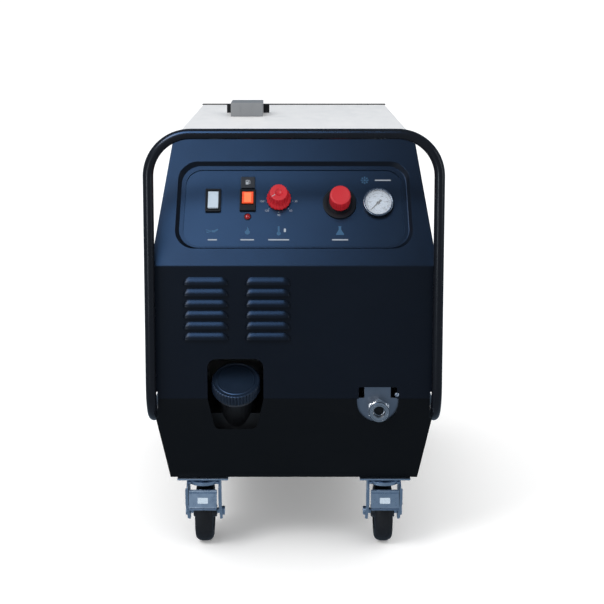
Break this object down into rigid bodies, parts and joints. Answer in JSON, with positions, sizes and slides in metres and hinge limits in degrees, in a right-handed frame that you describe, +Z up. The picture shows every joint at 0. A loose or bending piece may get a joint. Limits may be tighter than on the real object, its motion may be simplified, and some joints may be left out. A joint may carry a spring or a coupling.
{
  "type": "hot-water high-pressure cleaner",
  "caption": "Hot-water pressure cleaner: boxy steel body with a sloping control panel, tubular roll bar, filler cap, outlet fitting, castors and rear wheels.",
  "frame": {"origin": "on the floor, at the middle of the machine's box", "axes": "+Z up, front panel towards -Y, length along Y, width along X"},
  "size_m": [0.6, 1.0356, 0.8985],
  "materials": {
    "black_paint": "satin black powder coat with a fine orange-peel grain",
    "white_paint": "smooth white powder coat",
    "control_film": "satin black printed panel",
    "stainless": "brushed stainless steel",
    "plated_steel": "bright plated steel",
    "zinc": "blue passivated zinc plate",
    "wheel_rubber": "black moulded rubber",
    "seal_rubber": "moulded rubber",
    "black_plastic": "moulded black plastic",
    "white_plastic": "translucent white plastic",
    "orange_plastic": "glossy orange plastic",
    "red_plastic": "moulded red plastic",
    "red_lens": "unlit red lens",
    "gauge_steel": "dark steel case",
    "dial_white": "matt white dial with a plain scale",
    "clear_lens": "clear flat window",
    "tank_plastic": "rotomoulded grey polyethylene",
    "motor_cast": "painted cast aluminium",
    "fan_plastic": "black plastic fan on a shaft",
    "grey_paint": "grey painted sheet",
    "brass": "machined brass",
    "burner_alloy": "pressed aluminium",
    "copper_pipe": "drawn copper tube"
  },
  "bodies": {
    "chassis": {"bar_bracket_left": "zinc", "bar_bracket_right": "zinc", "boiler_coil": "stainless", "boiler_jacket": "stainless", "bulkhead": "grey_paint", "burner_blower": "grey_paint", "burner_fuel_pump": "brass", "burner_led": "red_lens", "burner_motor": "black_plastic", "burner_switch_housing": "black_plastic", "cable_gland": "black_plastic", "castor_left_plate": "zinc", "castor_right_plate": "zinc", "chassis_tray": "black_paint", "chemical_valve": "black_plastic", "control_plate": "control_film", "electrical_box": "grey_paint", "flue_cowl": "grey_paint", "flue_deflector": "black_paint", "flue_duct": "stainless", "front_panel": "black_paint", "fuel_lamp": "black_plastic", "fuel_tank": "tank_plastic", "gauge_case": "gauge_steel", "gauge_dial": "dial_white", "gauge_lens": "clear_lens", "hood": "white_paint", "motor_fan_cover": "grey_paint", "motor_housing": "motor_cast", "outlet_fitting": "plated_steel", "outlet_pipe": "copper_pipe", "outlet_plate": "stainless", "pump_crankcase": "motor_cast", "pump_head": "brass", "pump_pipe": "copper_pipe", "pump_switch_housing": "black_plastic", "rear_axle": "plated_steel", "rear_panel": "black_paint", "roll_bar": "black_paint", "thermostat_body": "gauge_steel", "water_inlet": "brass"},
    "castor_left_swivel": {"castor_left_fork": "zinc", "castor_left_axle": "zinc"},
    "castor_left_wheel": {"castor_left_wheel": "wheel_rubber"},
    "castor_left_pedal": {"castor_left_brake_pedal": "zinc"},
    "castor_right_swivel": {"castor_right_fork": "zinc", "castor_right_axle": "zinc"},
    "castor_right_wheel": {"castor_right_wheel": "wheel_rubber"},
    "castor_right_pedal": {"castor_right_brake_pedal": "zinc"},
    "rear_wheel_left": {"rear_wheel_left": "wheel_rubber"},
    "rear_wheel_right": {"rear_wheel_right": "wheel_rubber"},
    "pump_rocker": {"pump_switch_rocker": "white_plastic"},
    "burner_rocker": {"burner_switch_rocker": "orange_plastic"},
    "thermostat_knob": {"thermostat_knob": "red_plastic"},
    "chemical_knob": {"chemical_knob": "red_plastic"},
    "gauge_needle": {"gauge_needle": "black_plastic"},
    "filler_lift": {"fuel_cap_seal": "seal_rubber"},
    "fuel_cap": {"fuel_cap": "black_plastic"},
    "motor_rotor": {"motor_rotor": "fan_plastic"},
    "burner_fan": {"burner_fan": "burner_alloy"}
  },
  "joints": [
    {"name": "castor_left_turn", "type": "hinge", "parent": "chassis", "child": "castor_left_swivel", "pos_m": [-0.189, -0.43017, 0.15], "axis": [0, 0, 1], "continuous": true},
    {"name": "castor_left_roll", "type": "hinge", "parent": "castor_left_swivel", "child": "castor_left_wheel", "pos_m": [-0.189, -0.39217, 0.0625], "axis": [1, 0, 0], "continuous": true},
    {"name": "castor_left_brake", "type": "hinge", "parent": "castor_left_swivel", "child": "castor_left_pedal", "pos_m": [-0.189, -0.46768, 0.132], "axis": [1, 0, 0], "range_deg": [0, 16]},
    {"name": "rear_left_roll", "type": "hinge", "parent": "chassis", "child": "rear_wheel_left", "pos_m": [-0.2825, 0.30783, 0.125], "axis": [1, 0, 0], "continuous": true},
    {"name": "castor_right_turn", "type": "hinge", "parent": "chassis", "child": "castor_right_swivel", "pos_m": [0.189, -0.43017, 0.15], "axis": [0, 0, 1], "continuous": true},
    {"name": "castor_right_roll", "type": "hinge", "parent": "castor_right_swivel", "child": "castor_right_wheel", "pos_m": [0.189, -0.39217, 0.0625], "axis": [1, 0, 0], "continuous": true},
    {"name": "castor_right_brake", "type": "hinge", "parent": "castor_right_swivel", "child": "castor_right_pedal", "pos_m": [0.189, -0.46768, 0.132], "axis": [1, 0, 0], "range_deg": [0, 16]},
    {"name": "rear_right_roll", "type": "hinge", "parent": "chassis", "child": "rear_wheel_right", "pos_m": [0.2825, 0.30783, 0.125], "axis": [1, 0, 0], "continuous": true},
    {"name": "pump_switch", "type": "hinge", "parent": "chassis", "child": "pump_rocker", "pos_m": [-0.166, -0.41535, 0.73537], "axis": [1, 0, 0], "range_deg": [0, 16]},
    {"name": "burner_switch", "type": "hinge", "parent": "chassis", "child": "burner_rocker", "pos_m": [-0.095, -0.41285, 0.7397], "axis": [1, 0, 0], "range_deg": [0, 16]},
    {"name": "thermostat_turn", "type": "hinge", "parent": "chassis", "child": "thermostat_knob", "pos_m": [-0.031, -0.41075, 0.73734], "axis": [0, 0.866, -0.5], "range_deg": [0, 270]},
    {"name": "chemical_turn", "type": "hinge", "parent": "chassis", "child": "chemical_knob", "pos_m": [0.094, -0.4155, 0.72911], "axis": [0, 0.866, -0.5], "range_deg": [0, 270]},
    {"name": "gauge_reading", "type": "hinge", "parent": "chassis", "child": "gauge_needle", "pos_m": [0.173, -0.41575, 0.72868], "axis": [0, 0.866, -0.5], "range_deg": [0, 270], "stiffness_Nm_per_rad": 0.0002},
    {"name": "fuel_cap_lift", "type": "slide", "parent": "chassis", "child": "filler_lift", "axis": [0, -0.515, 0.8572], "range_m": [0, 0.022]},
    {"name": "fuel_cap_turn", "type": "hinge", "parent": "filler_lift", "child": "fuel_cap", "pos_m": [-0.119, -0.47218, 0.372], "axis": [0, -0.515, 0.8572], "range_deg": [0, 360]},
    {"name": "motor_spin", "type": "hinge", "parent": "chassis", "child": "motor_rotor", "pos_m": [0, -0.07218, 0.2568], "axis": [1, 0, 0], "continuous": true},
    {"name": "burner_spin", "type": "hinge", "parent": "chassis", "child": "burner_fan", "pos_m": [0, 0.30783, 0.7148], "axis": [1, 0, 0], "continuous": true}
  ]
}
